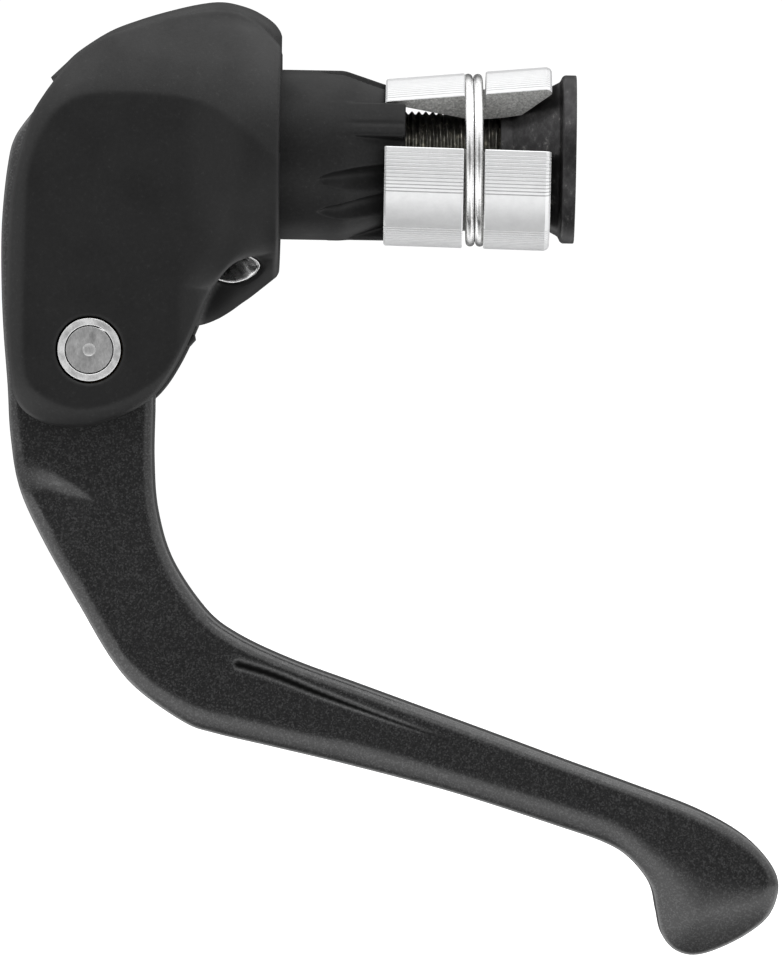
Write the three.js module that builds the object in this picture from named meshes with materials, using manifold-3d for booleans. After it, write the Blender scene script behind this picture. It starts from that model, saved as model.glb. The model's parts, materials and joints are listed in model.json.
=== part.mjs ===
// Bar-end brake lever: a clevis bracket with an expanding plug for the end of a base bar, and a
// curved blade that pivots in the bracket and pulls the cable through the plug's hollow draw bolt.
//
// Millimetres. The origin is on the bar's axis in the plane of the bracket's shoulder, which the
// bar's end rests against. +X runs into the bar, +Z is up, and Y runs across the lever.
import * as THREE from 'three';
import { mergeVertices } from 'three/addons/utils/BufferGeometryUtils.js';
import Module from 'manifold-3d';

const wasm = await Module();
wasm.setup();

// ---------- driving dimensions ----------
const GAP = 0.3;                       // between neighbouring pieces

const BAR_OUTER_R = 13.4;              // the shoulder is flush with the base bar
const CHEEK_HALF = 10.5;               // bracket's half width at the flat cheeks
const SLOT_HALF = 6.0;                 // half the slot that the lever swings in
const BELLY_HALF = 8.5;
const SLOT_REAR_X = -11.2;             // rear wall of the slot
const FRONT_CHAMFER = 2.2;             // narrows the cheeks towards their front edge
const SHOULDER_Z = 0.3;                // the round shoulder's middle

const PIVOT = { x: -20.1, z: -21.6 };
const AXLE_R = 2.5;
const AXLE_HALF = 10.4;
const AXLE_BUSH_R = 3.4;
const LEVER_BUSH_R = 3.6;
const CLIP_Y = 8.25;
const CLIP_THICK = 0.7;
const AXLE_GROOVE_R = 2.0;

const ARM_HALF = 5.7;                  // lever's half width inside the slot
const BLADE_HALF = 6.6;                // and below the bracket
const BLADE_EDGE = 1.2;                // chamfer round the blade
const POCKET_HALF = 3.4;               // hollow between the lever's two webs
const HOOK = { x: -22.9, z: 0.2 };     // cable hook's axis in the lever
const HOOK_R = 3.0;
const HOOK_JOURNAL_R = 2.2;

const PLUG_R = 9.18;
const PLUG_END_X = 13.4;
const PLUG_CONE_X = 7.3;               // where the plug's three seats start
const PLUG_CONE_R = 9.0;
const PLUG_CONE_ANGLE = THREE.MathUtils.degToRad(18);
const RECESS_DEPTH = 2.5;              // the plug's foot sits in the bracket

const SEGMENTS = [['upper', 85], ['front', -35], ['rear', 205]];   // name, angle from -Y towards +Z
const SEGMENT_SPAN = 84;
const KEY_SPAN = 26;
const SEGMENT_X = [11.2, 29.1];
const SEGMENT_BORE_R = 6.4;
const RING_GROOVE_X = [19.5, 22.2];
const RING_GROOVE_R = 7.5;
const RING_WIRE_R = 0.6;
const RING_R = 8.69;                   // to the middle of the wire
const RING_X = 20.85;
const RING_PITCH = 1.3;

const WEDGE_ANGLE = THREE.MathUtils.degToRad(32);
const WEDGE_X = [23.65, 31.8];
const WEDGE_HUB_R = 5.6;
const WEDGE_SEAT_R = 8.2;
const WEDGE_RIM_R = 9.13;

const BOLT_R = 4.55;
const BOLT_BORE_R = 2.8;
const BOLT_HEAD_R = 6.8;
const BOLT_HEAD_X = [-10.4, -6.4];
const BOLT_END_X = 31.2;
const HEX_SOCKET_R = 4.6;
const WASHER_X = [-6.1, -5.3];

const SPRING_R = 4.9;                  // return spring, to the middle of the wire
const SPRING_WIRE_R = 0.5;
const SPRING_TURNS = 3.47;
const SPRING_PITCH = 1.35;

const PORT = new THREE.Vector3(-4.1, -8.0, -13.1);             // mouth of the near cable port
const PORT_AXIS = new THREE.Vector3(-0.8, 0.35, 0.48).normalize();
const PORT_R = 2.2;
const FERRULE_LENGTH = 3.4;

const ROUND = 40;                      // sides of a large round piece
const SMALL_ROUND = 24;

const X = new THREE.Vector3(1, 0, 0);
const Y = new THREE.Vector3(0, 1, 0);
const Z = new THREE.Vector3(0, 0, 1);

// ---------- outlines, in the side view (x, z) ----------
const CHEEK_TOP = [[-2.5, 15.2], [-6.5, 16.35], [-12.3, 15.3], [-18.7, 13.0], [-23.5, 9.4], [-25.0, 7.9]];
const CHEEK_FRONT = [[-27.15, 2.4], [-28.6, -3.0], [-29.1, -11.0], [-28.8, -22.0]];
const CHEEK_FOOT = [[-27.9, -27.0], [-26.0, -29.1], [-22.6, -29.9], [-18.7, -29.4], [-14.9, -27.75],
  [-12.0, -25.1], [-9.5, -20.75], [-7.5, -15.5], [-5.6, -12.9], [-3.0, -11.3]];
const BELLY_FOOT = [[-0.7, -13.5], [-3.4, -15.7], [-5.4, -17.6], [-8.1, -18.65], [-11.5, -19.0]];
const SLOT = [[-50, -50], [-7.0, -50], [-7.0, -19.3], [SLOT_REAR_X, -17.8], [SLOT_REAR_X, 8.0],
  [-14.5, 10.6], [-20.0, 8.4], [-24.9, 7.5], [-50, 7.5]];

const LEVER_FRONT = [[-26.4, 4.4], [-28.5, 1.4], [-29.9, -9.2], [-29.5, -20.0], [-28.6, -30.8],
  [-27.6, -36.2], [-25.2, -41.5], [-20.5, -49.6], [-17.2, -54.9], [-14.2, -58.2], [-9.3, -61.5],
  [0.5, -64.0], [20.0, -68.6], [36.3, -73.7], [39.0, -75.4], [41.2, -78.2]];
const LEVER_TIP = [[41.9, -81.5], [43.2, -84.6], [46.0, -85.7], [50.0, -84.5], [53.6, -81.9],
  [55.0, -77.9], [53.9, -75.3], [51.1, -72.6], [46.2, -70.0]];
const LEVER_REAR = [[24.3, -62.3], [9.3, -57.1], [2.1, -54.6], [-3.7, -52.0], [-7.3, -49.3],
  [-11.0, -44.0], [-12.7, -38.6], [-13.2, -30.5], [-13.4, -22.0], [-15.0, -16.5], [-18.2, -11.0],
  [-19.6, -4.0], [-19.9, 3.0], [-21.6, 6.4]];
const LEVER_TOP = [-24.3, 7.0];
const POCKET = [[-26.2, 4.4], [-27.8, -8.0], [-27.6, -18.0], [-26.9, -26.5], [-24.0, -28.8],
  [-17.0, -28.8], [-10.0, -26.0], [-10.0, 4.4]];

// ---------- shape helpers ----------
const vectors = (points) => points.map(([u, v]) => new THREE.Vector2(u, v));

function polygon(points) {
  return new THREE.Shape(vectors(points));
}

// A closed outline that starts at `start` and runs through each list as a smooth stretch.
function smoothOutline(start, ...stretches) {
  const shape = new THREE.Shape();
  shape.moveTo(...start);
  for (const points of stretches) shape.splineThru(vectors(points));
  return shape;
}

// A watertight solid from any closed three.js geometry, turned so that its faces point out.
function solid(geometry) {
  geometry.deleteAttribute('normal');
  geometry.deleteAttribute('uv');
  const merged = mergeVertices(geometry, 1e-4);
  const place = merged.getAttribute('position').array;
  const corner = (i) => new THREE.Vector3().fromArray(place, 3 * i);
  const faces = [];
  let volume = 0;
  for (let i = 0; i < merged.index.count; i += 3) {
    const [a, b, c] = merged.index.array.slice(i, i + 3);
    if (a === b || b === c || c === a) continue;
    faces.push([a, b, c]);
    volume += corner(a).dot(corner(b).cross(corner(c)));
  }
  if (volume < 0) faces.forEach((face) => face.reverse());
  const triVerts = new Uint32Array(faces.flat());
  const vertProperties = new Float32Array(place);
  return new wasm.Manifold(new wasm.Mesh({ numProp: 3, vertProperties, triVerts }));
}

function extrude(shape, depth, basis, options = {}) {
  const plain = { depth, bevelEnabled: false, curveSegments: 1 };
  const geometry = new THREE.ExtrudeGeometry(shape, { ...plain, ...options });
  geometry.translate(0, 0, -depth / 2);
  return solid(geometry.applyMatrix4(basis));
}

// Extrusions of a side view (x, z), a plan (x, y) and a front view (y, z), centred on their own axis.
const SIDE = new THREE.Matrix4().makeBasis(X, Z, Y.clone().negate());
const PLAN = new THREE.Matrix4();
const FRONT = new THREE.Matrix4().makeBasis(Y, Z, X);
const sidePrism = (shape, halfWidth, options) => extrude(shape, 2 * halfWidth, SIDE, options);

// A round piece about X (profile of [x, r]) or about Y (profile of [y, r]).
function turned(profile, sides, basis) {
  const points = [...profile, profile[0]].map(([along, r]) => new THREE.Vector2(r, along));
  return solid(new THREE.LatheGeometry(points, sides).applyMatrix4(basis));
}
const ABOUT_X = new THREE.Matrix4().makeBasis(Z, X, Y);
const ABOUT_Y = new THREE.Matrix4();
const turnedX = (profile, sides = ROUND) => turned(profile, sides, ABOUT_X);
const turnedY = (profile, sides = SMALL_ROUND) => turned(profile, sides, ABOUT_Y);
const tubeProfile = (from, to, inner, outer) => [[from, inner], [from, outer], [to, outer], [to, inner]];

// A plain cylinder from `from` to `to`, used to cut round holes.
function rod(from, to, r, sides = SMALL_ROUND) {
  const along = to.clone().sub(from);
  const geometry = new THREE.CylinderGeometry(r, r, along.length(), sides);
  geometry.applyQuaternion(new THREE.Quaternion().setFromUnitVectors(Y, along.clone().normalize()));
  geometry.translate(...from.clone().add(along.multiplyScalar(0.5)));
  return solid(geometry);
}
const point = (x, y, z) => new THREE.Vector3(x, y, z);
const rodX = (from, to, r, sides = ROUND) => rod(point(from, 0, 0), point(to, 0, 0), r, sides);
const rodY = (at, from, to, r, sides) => rod(point(at.x, from, at.z), point(at.x, to, at.z), r, sides);

// A slice of `span` degrees about X, from the axis outwards, centred on `angle` from -Y towards +Z.
function sector(angle, span, from, to) {
  const reach = 3 * PLUG_R;
  const corners = [[0, 0]];
  for (const side of [-0.5, 0, 0.5]) {
    const a = THREE.MathUtils.degToRad(angle + side * span);
    corners.push([-reach * Math.cos(a), reach * Math.sin(a)]);
  }
  return extrude(polygon(corners), to - from, FRONT).translate([(from + to) / 2, 0, 0]);
}

function toGeometry(manifold) {
  const mesh = manifold.getMesh();
  const geometry = new THREE.BufferGeometry();
  geometry.setAttribute('position', new THREE.BufferAttribute(mesh.vertProperties, 3));
  geometry.setIndex(new THREE.BufferAttribute(mesh.triVerts, 1));
  return geometry;
}

// ---------- materials ----------
const finish = (color, roughness, metalness) => () =>
  new THREE.MeshStandardMaterial({ color, roughness, metalness });
const blackResin = finish(0x232323, 0.55, 0.0);
const glossBlack = finish(0x1b1b1d, 0.18, 0.1);
const rubber = finish(0x161616, 0.9, 0.0);
const brightAluminium = finish(0xc9cbcc, 0.35, 1.0);
const darkAnodised = finish(0x3a3a3c, 0.4, 0.9);
const steel = finish(0xa8aaab, 0.3, 1.0);
const bronze = finish(0x8d7350, 0.45, 1.0);
const darkSteel = finish(0x4a4a4c, 0.4, 1.0);

const group = new THREE.Group();

function add(parent, name, shape, material, position = [0, 0, 0]) {
  const mesh = new THREE.Mesh(toGeometry(shape), material());
  mesh.name = name;
  mesh.position.set(...position);
  parent.add(mesh);
}

// ---------- bracket ----------
function bracketBody() {
  const side = smoothOutline([0, 12.8], CHEEK_TOP, CHEEK_FRONT, CHEEK_FOOT, [[0, -11.0]]);
  const cheeks = sidePrism(side, BAR_OUTER_R);
  const bellySide = polygon([[0, -5.0], [SLOT_REAR_X, -5.0], ...BELLY_FOOT.toReversed(), [0, -13.1]]);
  const belly = sidePrism(bellySide, BELLY_HALF);
  const flank = [[0.1, BAR_OUTER_R], [-1.5, BAR_OUTER_R], [-5.0, 12.6], [-9.0, 11.1], [-13.0, CHEEK_HALF],
    [-29.1 + FRONT_CHAMFER, CHEEK_HALF], [-29.1, CHEEK_HALF - FRONT_CHAMFER],
    [-30.0, CHEEK_HALF - FRONT_CHAMFER]];
  const plan = extrude(polygon([...flank, ...flank.toReversed().map(([x, y]) => [x, -y])]), 100, PLAN);
  const arch = new THREE.Shape();
  arch.moveTo(-BAR_OUTER_R, -40);
  arch.lineTo(BAR_OUTER_R, -40);
  arch.absarc(0, 16.35 - BAR_OUTER_R, BAR_OUTER_R, 0, Math.PI, false);
  const front = extrude(arch, 100, FRONT, { curveSegments: 20 });
  const flare = turnedX([[1, 0], [1, BAR_OUTER_R], [0, BAR_OUTER_R], [-2.5, 15.0], [-6.5, 16.6], [-12.0, 26.0],
    [-32.0, 60.0], [-32.0, 0]], 48).translate([0, 0, SHOULDER_Z]);

  const shaftHole = rodY(PIVOT, -20, 20, AXLE_BUSH_R + GAP);
  const cuts = [
    sidePrism(polygon(SLOT), SLOT_HALF),
    rodX(SLOT_REAR_X - 1, WASHER_X[1] + GAP, BOLT_HEAD_R + 0.6),
    rodX(SLOT_REAR_X, 1, BOLT_R + 0.45),
    rodX(-RECESS_DEPTH, 1, PLUG_R + 0.35),
    shaftHole,
  ];
  for (const side of [1, -1]) cuts.push(portRod(side, -6, 11, PORT_R));
  const stock = cheeks.add(belly).intersect(plan).intersect(front).intersect(flare);
  return cuts.reduce((body, cut) => body.subtract(cut), stock);
}

// A rod along one cable port, between two distances from the port's mouth. `side` 1 is the near one.
function portRod(side, from, to, r) {
  const flip = new THREE.Vector3(1, side, 1);
  const along = (distance) => PORT.clone().addScaledVector(PORT_AXIS, distance).multiply(flip);
  return rod(along(from), along(to), r, 16);
}

function plugSleeve() {
  const coneEndR = PLUG_CONE_R - (PLUG_END_X - PLUG_CONE_X) * Math.tan(PLUG_CONE_ANGLE);
  const bore = BOLT_R + 0.45;
  let sleeve = turnedX([[0.3 - RECESS_DEPTH, bore], [0.3 - RECESS_DEPTH, PLUG_R], [PLUG_CONE_X - 0.3, PLUG_R],
    [PLUG_CONE_X, PLUG_CONE_R], [PLUG_END_X, coneEndR], [PLUG_END_X, bore]]);
  const keyStock = turnedX(tubeProfile(PLUG_CONE_X - 0.5, PLUG_END_X, bore + 0.2, PLUG_R - 0.06));
  for (const [, angle] of SEGMENTS) {
    sleeve = sleeve.add(keyStock.intersect(sector(angle + 60, KEY_SPAN, 0, PLUG_END_X + 1)));
  }
  return sleeve;
}

// Two turns of wire side by side, joined by the short step from one turn to the next.
function ringSpring() {
  const turn = (x) => {
    const wire = Array.from({ length: 6 }, (_, i) => {
      const a = (i / 6) * 2 * Math.PI;
      return [x + RING_WIRE_R * Math.cos(a), RING_R + RING_WIRE_R * Math.sin(a)];
    });
    return turnedX(wire, 30);
  };
  const half = RING_PITCH / 2;
  const [from, to] = [-half, half].map((offset) => new THREE.Vector3(RING_X + offset, 0, RING_R));
  return turn(RING_X - half).add(turn(RING_X + half)).add(rod(from, to, RING_WIRE_R * 0.8, 8));
}

// Starts on the lever's front skin, winds round the spool and ends on the bracket's belly wall.
function returnSpring() {
  const width = SPRING_TURNS * SPRING_PITCH;
  const points = [point(-6.3, -width / 2, 9.0), point(-5.5, -width / 2, 4.5)];
  const steps = Math.round(SPRING_TURNS * 14);
  for (let i = 0; i <= steps; i += 1) {
    const a = 0.95 * Math.PI + (i / steps) * SPRING_TURNS * 2 * Math.PI;
    points.push(point(SPRING_R * Math.cos(a), (i / steps - 0.5) * width, SPRING_R * Math.sin(a)));
  }
  points.push(new THREE.Vector3(6.3, width / 2, 2.4), new THREE.Vector3(8.1, width / 2, 6.0));
  const section = new THREE.Shape().absarc(0, 0, SPRING_WIRE_R, 0, 2 * Math.PI, false);
  const path = new THREE.CatmullRomCurve3(points);
  const sweep = { steps: 84, curveSegments: 3, extrudePath: path, bevelEnabled: false };
  return solid(new THREE.ExtrudeGeometry(section, sweep));
}

function bracketParts(parent) {
  add(parent, 'bracket_body', bracketBody(), blackResin);
  add(parent, 'plug_sleeve', plugSleeve(), blackResin);
  add(parent, 'bolt_washer', turnedX(tubeProfile(...WASHER_X, BOLT_R + 0.4, BOLT_HEAD_R)), steel);
  for (const [name, side] of [['near', 1], ['far', -1]]) {
    const ferrule = portRod(side, -0.3, FERRULE_LENGTH, PORT_R - 0.35)
      .subtract(portRod(side, -1, 6, PORT_R - 0.9));
    add(parent, `port_ferrule_${name}`, ferrule, steel);
  }
  const at = [PIVOT.x, 0, PIVOT.z];
  const bore = AXLE_R + GAP + 0.05;
  const inner = SLOT_HALF + 0.2;
  add(parent, 'axle_bush_near', turnedY(tubeProfile(-AXLE_HALF, -inner, bore, AXLE_BUSH_R)), steel, at);
  add(parent, 'axle_bush_far', turnedY(tubeProfile(inner, CLIP_Y - GAP, bore, AXLE_BUSH_R)), steel, at);
  const grooveEnd = CLIP_Y + CLIP_THICK + 0.1;
  add(parent, 'pivot_axle', turnedY([[-AXLE_HALF, 0], [-AXLE_HALF, AXLE_R], [CLIP_Y - 0.1, AXLE_R],
    [CLIP_Y - 0.1, AXLE_GROOVE_R], [grooveEnd, AXLE_GROOVE_R], [grooveEnd, AXLE_R], [AXLE_HALF - 0.4, AXLE_R],
    [AXLE_HALF - 0.2, 2.2], [AXLE_HALF - 0.2, 0]]), steel, at);
  const clipMouth = extrude(polygon([[-1.3, 0], [1.3, 0], [1.3, 6], [-1.3, 6]]), 2 * AXLE_HALF, SIDE)
    .translate([0, AXLE_HALF, 0]);
  const clip = turnedY(tubeProfile(CLIP_Y, CLIP_Y + CLIP_THICK, AXLE_GROOVE_R + GAP, AXLE_BUSH_R))
    .subtract(clipMouth);
  add(parent, 'axle_retaining_clip', clip, darkSteel, at);
  const spoolR = SPRING_R - SPRING_WIRE_R - 0.4;
  const spool = turnedY(tubeProfile(1 - POCKET_HALF, POCKET_HALF - 1, bore, spoolR));
  add(parent, 'spring_spool', spool, blackResin, at);
  add(parent, 'return_spring', returnSpring(), steel, at);
  const bumper = polygon([[-12.7, -20.9], [-9.5, -20.9], [-8.9, -20.2], [-9.0, -19.7], [-12.3, -19.7]]);
  add(parent, 'stop_bumper', sidePrism(bumper, POCKET_HALF - 0.4), rubber);
}

// ---------- draw bolt, wedge and grip segments ----------
function drawBolt(parent) {
  const socket = new THREE.CylinderGeometry(HEX_SOCKET_R, HEX_SOCKET_R, 6, 6).applyMatrix4(ABOUT_X);
  const [headX, seatX] = BOLT_HEAD_X;
  const bolt = turnedX([[headX, BOLT_BORE_R], [headX, BOLT_HEAD_R - 0.4], [headX + 0.4, BOLT_HEAD_R],
    [seatX, BOLT_HEAD_R], [seatX, BOLT_R], [BOLT_END_X - 0.5, BOLT_R], [BOLT_END_X, BOLT_R - 0.5],
    [BOLT_END_X, BOLT_BORE_R]]).subtract(solid(socket).translate([headX, 0, 0]));
  add(parent, 'draw_bolt', bolt, darkSteel);
  const stopX = headX - 1.6;
  const stopProfile = [[stopX, 1.1], [stopX, 3.4], [stopX + 1.2, 3.4], [stopX + 1.2, 2.45], [-3, 2.45],
    [-3, 1.1]];
  const stop = turnedX(stopProfile, SMALL_ROUND);
  add(parent, 'casing_stop', stop, steel);
}

function expanderWedge(parent) {
  const coneX = 29.2 - (WEDGE_SEAT_R - WEDGE_HUB_R) / Math.tan(WEDGE_ANGLE);
  const bore = BOLT_R + GAP;
  const wedge = turnedX([[WEDGE_X[0], bore], [WEDGE_X[0], WEDGE_HUB_R], [coneX, WEDGE_HUB_R],
    [29.2, WEDGE_SEAT_R], [30.8, WEDGE_RIM_R], [WEDGE_X[1], WEDGE_RIM_R], [WEDGE_X[1], bore]]);
  add(parent, 'expander_wedge', wedge, darkAnodised);
}

function gripSegments(parent) {
  const [left, right] = SEGMENT_X;
  const leftBoreR = PLUG_CONE_R - (left - PLUG_CONE_X) * Math.tan(PLUG_CONE_ANGLE) + 0.35;
  const leftRampX = left + (leftBoreR - SEGMENT_BORE_R) / Math.tan(PLUG_CONE_ANGLE);
  const rightRampX = 25.75;
  const rightBoreR = SEGMENT_BORE_R + (right - rightRampX) * Math.tan(WEDGE_ANGLE);
  const outerR = (x) => 8.95 + (x - left) * 0.055;
  const [grooveLeft, grooveRight] = RING_GROOVE_X;
  const stock = turnedX([[left, leftBoreR], [left, outerR(left)], [grooveLeft, outerR(grooveLeft)],
    [grooveLeft, RING_GROOVE_R], [grooveRight, RING_GROOVE_R], [grooveRight, outerR(grooveRight)],
    [right, outerR(right)], [right, rightBoreR], [rightRampX, SEGMENT_BORE_R],
    [leftRampX, SEGMENT_BORE_R]], 60);
  for (const [name, angle] of SEGMENTS) {
    const segment = stock.intersect(sector(angle, SEGMENT_SPAN, 0, 40));
    add(parent, `grip_segment_${name}`, segment, brightAluminium);
  }
}

// ---------- lever ----------
function leverBlade() {
  const outline = smoothOutline(LEVER_TOP, LEVER_FRONT, LEVER_TIP, LEVER_REAR, [LEVER_TOP]);
  const edge = { bevelEnabled: true, bevelThickness: BLADE_EDGE, bevelSize: BLADE_EDGE,
    bevelOffset: -BLADE_EDGE, bevelSegments: 1 };
  const blade = sidePrism(outline, BLADE_HALF - BLADE_EDGE, edge);
  const half = [[BLADE_HALF + 1, -100], [BLADE_HALF + 1, -37.5], [ARM_HALF, -32.5], [ARM_HALF, 20]];
  const narrowing = extrude(polygon([...half, ...half.toReversed().map(([y, z]) => [-y, z])]), 200, FRONT);
  const cuts = [
    sidePrism(polygon(POCKET), POCKET_HALF),
    rodY(PIVOT, -20, 20, LEVER_BUSH_R + GAP),
    rodY(HOOK, -20, 20, HOOK_JOURNAL_R + GAP),
  ];
  return cuts.reduce((body, cut) => body.subtract(cut), blade.intersect(narrowing));
}

function cableHook() {
  const end = ARM_HALF - 0.4;
  const step = POCKET_HALF - GAP;
  const barrel = turnedY([[-end, 0], [-end, HOOK_JOURNAL_R], [-step, HOOK_JOURNAL_R], [-step, HOOK_R],
    [step, HOOK_R], [step, HOOK_JOURNAL_R], [end, HOOK_JOURNAL_R], [end, 0]]);
  return barrel.subtract(rodX(-6, 6, 1.0, 12)).subtract(rodX(-6, -0.8, 2.1, 16));
}

function lever(parent) {
  add(parent, 'lever_blade', leverBlade(), glossBlack);
  const at = [PIVOT.x, 0, PIVOT.z];
  const [inner, outer, bore] = [POCKET_HALF + 0.1, ARM_HALF - 0.1, AXLE_R + GAP + 0.05];
  add(parent, 'lever_bushing_near', turnedY(tubeProfile(-outer, -inner, bore, LEVER_BUSH_R)), bronze, at);
  add(parent, 'lever_bushing_far', turnedY(tubeProfile(inner, outer, bore, LEVER_BUSH_R)), bronze, at);
  add(parent, 'cable_hook', cableHook(), steel, [HOOK.x, 0, HOOK.z]);
}

// ---------- assembly ----------
for (const section of [bracketParts, drawBolt, expanderWedge, gripSegments, lever]) {
  const branch = new THREE.Group();
  section(branch);
  group.add(branch);
}
add(group, 'segment_ring', ringSpring(), steel);

export default group;
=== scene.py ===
"""Bar-end brake lever: the visual model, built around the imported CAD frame.

Shapes are worked out in millimetres, in the frame's own axes, and turned into metres when a mesh
is made. The sculpted pieces are distance fields, so that their edges round off as moulded and
forged parts do; the turned pieces are profiles swept about an axis.
"""
import json
import math

import bmesh
import bpy
import numpy as np
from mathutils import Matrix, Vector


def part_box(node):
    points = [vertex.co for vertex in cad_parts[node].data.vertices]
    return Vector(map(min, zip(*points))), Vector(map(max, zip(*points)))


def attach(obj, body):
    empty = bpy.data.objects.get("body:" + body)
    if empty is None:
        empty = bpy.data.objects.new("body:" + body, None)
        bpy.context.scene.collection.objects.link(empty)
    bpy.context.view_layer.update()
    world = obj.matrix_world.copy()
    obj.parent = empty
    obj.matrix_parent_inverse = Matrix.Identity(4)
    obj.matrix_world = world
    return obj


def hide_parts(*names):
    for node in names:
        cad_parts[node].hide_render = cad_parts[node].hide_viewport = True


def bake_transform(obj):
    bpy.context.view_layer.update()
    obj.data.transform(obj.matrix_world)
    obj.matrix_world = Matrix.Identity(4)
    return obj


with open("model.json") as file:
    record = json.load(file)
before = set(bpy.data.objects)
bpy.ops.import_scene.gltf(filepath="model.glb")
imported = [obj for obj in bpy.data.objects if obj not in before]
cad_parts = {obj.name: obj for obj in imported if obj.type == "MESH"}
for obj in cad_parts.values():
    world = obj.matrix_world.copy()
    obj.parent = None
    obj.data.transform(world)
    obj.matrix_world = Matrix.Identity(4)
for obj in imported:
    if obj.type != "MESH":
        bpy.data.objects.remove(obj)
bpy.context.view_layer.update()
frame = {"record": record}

import openvdb
from mathutils import Matrix, Vector

MM = 0.001

# ---------- places that the frame gives, in millimetres ----------
JOINTS = {joint["name"]: joint for joint in frame["record"]["behaviour"]["joints"]}
PIVOT_X, _, PIVOT_Z = (v / MM for v in JOINTS["lever_pull"]["pos_m"])
HOOK_X, _, HOOK_Z = (v / MM for v in JOINTS["cable_hook_turn"]["pos_m"])


def node_box(node):
    low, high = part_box(node)
    return np.array(low) / MM, np.array(high) / MM


# ---------- numbers ----------
def smoothstep(low, high, value):
    t = np.clip((value - low) / (high - low), 0.0, 1.0)
    return t * t * (3.0 - 2.0 * t)


def mix(a, b, t):
    return a + (b - a) * t


def round_max(a, b, radius):
    """Intersection of two fields with a rounded edge."""
    inside = np.minimum(np.maximum(a, b), -radius)
    return inside + np.hypot(np.maximum(a + radius, 0), np.maximum(b + radius, 0))


def round_min(a, b, radius):
    """Union of two fields with a filleted inside corner."""
    return -round_max(-a, -b, radius)


# ---------- outlines in the side view ----------
SAME_POINT = 1e-6  # points closer than this are one
BATCH = 20000  # places whose distance is worked out at a time


def smooth_curve(points, per=8):
    """A uniform Catmull-Rom curve through the points."""
    p = np.array(points, dtype=float)
    p = np.vstack([p[0], p, p[-1]])
    t = np.linspace(0.0, 1.0, per, endpoint=False)[:, None]
    pieces = []
    for a, b, c, d in zip(p[:-3], p[1:-2], p[2:-1], p[3:]):
        pieces.append(0.5 * (2 * b + (c - a) * t + (2 * a - 5 * b + 4 * c - d) * t ** 2
                             + (3 * b - a - 3 * c + d) * t ** 3))
    return np.vstack(pieces + [p[-1:]])


class Outline:
    """A closed or open line in the (x, z) plane, with the distance to it.

    Each stretch goes on from the end of the one before. Two points make a straight line, and
    more of them a smooth curve.
    """

    def __init__(self, *stretches, closed=True):
        parts = []
        last = None
        for stretch in stretches:
            points = list(stretch) if last is None else [last, *stretch]
            parts.append(smooth_curve(points) if len(points) > 2 else np.array(points, dtype=float))
            last = points[-1]
        line = np.vstack(parts)
        line = line[np.r_[True, np.hypot(*np.diff(line, axis=0).T) > SAME_POINT]]
        if closed and np.hypot(*(line[0] - line[-1])) < SAME_POINT:
            line = line[:-1]
        start = line if closed else line[:-1]
        end = np.roll(line, -1, axis=0) if closed else line[1:]
        x, z = line.T
        if closed and np.sum(x * np.roll(z, -1) - np.roll(x, -1) * z) < 0:
            start, end = end[::-1], start[::-1]
        self.closed = closed
        self.start = start
        self.along = end - start
        self.length2 = np.sum(self.along ** 2, axis=1)
        across = np.stack([self.along[:, 1], -self.along[:, 0]], axis=1)
        self.normal = across / np.sqrt(self.length2)[:, None]
        self.corner = np.roll(self.normal, 1, axis=0) + self.normal

    def distance(self, x, z):
        """Distance to the line; negative inside a closed one."""
        x, z = np.broadcast_arrays(x, z)
        points = np.stack([x.ravel(), z.ravel()], axis=1).astype(np.float32)
        result = np.empty(len(points), dtype=np.float32)
        start = self.start.astype(np.float32)
        along = self.along.astype(np.float32)
        length2 = self.length2.astype(np.float32)
        for low in range(0, len(points), BATCH):
            p = points[low:low + BATCH]
            dx = p[:, None, 0] - start[None, :, 0]
            dz = p[:, None, 1] - start[None, :, 1]
            t = np.clip((dx * along[:, 0] + dz * along[:, 1]) / length2, 0, 1)
            rx = dx - t * along[:, 0]
            rz = dz - t * along[:, 1]
            distance2 = rx * rx + rz * rz
            near = np.argmin(distance2, axis=1)
            row = np.arange(len(p))
            d = np.sqrt(distance2[row, near])
            if self.closed:
                place = t[row, near]
                normal = self.normal[near]
                normal[place <= 0] = self.corner[near[place <= 0]]
                normal[place >= 1] = self.corner[(near[place >= 1] + 1) % len(start)]
                side = rx[row, near] * normal[:, 0] + rz[row, near] * normal[:, 1]
                d = np.where(side < 0, -d, d)
            result[low:low + BATCH] = d
        return result.reshape(x.shape)


def polygon(points):
    """A closed outline with straight sides."""
    return Outline(points[:2], *[[point] for point in points[2:]], points[:1])


# ---------- meshes ----------
WELD_DISTANCE = 1e-7  # in metres, as are the meshes
SNAP_ROUNDS = 3  # times that a field's vertices are moved onto its surface


def make_object(name, vertices, faces, *materials):
    """A smooth-shaded mesh object, from vertices in millimetres."""
    places = (np.asarray(vertices, dtype=float) * MM).tolist()
    mesh = bpy.data.meshes.new(name)
    mesh.from_pydata(places, [], [list(map(int, face)) for face in faces])
    mesh.polygons.foreach_set("use_smooth", [True] * len(mesh.polygons))
    for material in materials:
        mesh.materials.append(material)
    mesh.update()
    obj = bpy.data.objects.new(name, mesh)
    bpy.context.scene.collection.objects.link(obj)
    return obj


def sharp_edges(obj, angle):
    """Smooth shading that breaks at edges sharper than the angle, in degrees."""
    obj.data.set_sharp_from_angle(angle=math.radians(angle))


def vertex_places(obj):
    """The x, y and z of an object's vertices, in millimetres."""
    place = np.empty(len(obj.data.vertices) * 3, dtype=np.float32)
    obj.data.vertices.foreach_get("co", place)
    return (place.reshape(-1, 3) / MM).T


def set_painted_shade(obj, amount):
    """Stores the painted shade at each vertex, from 0 to 1: how far the material is darkened and its shine
    taken off.
    """
    attribute = obj.data.attributes.new("painted_shade", "FLOAT", "POINT")
    attribute.data.foreach_set("value", amount.astype(np.float32))


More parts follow.
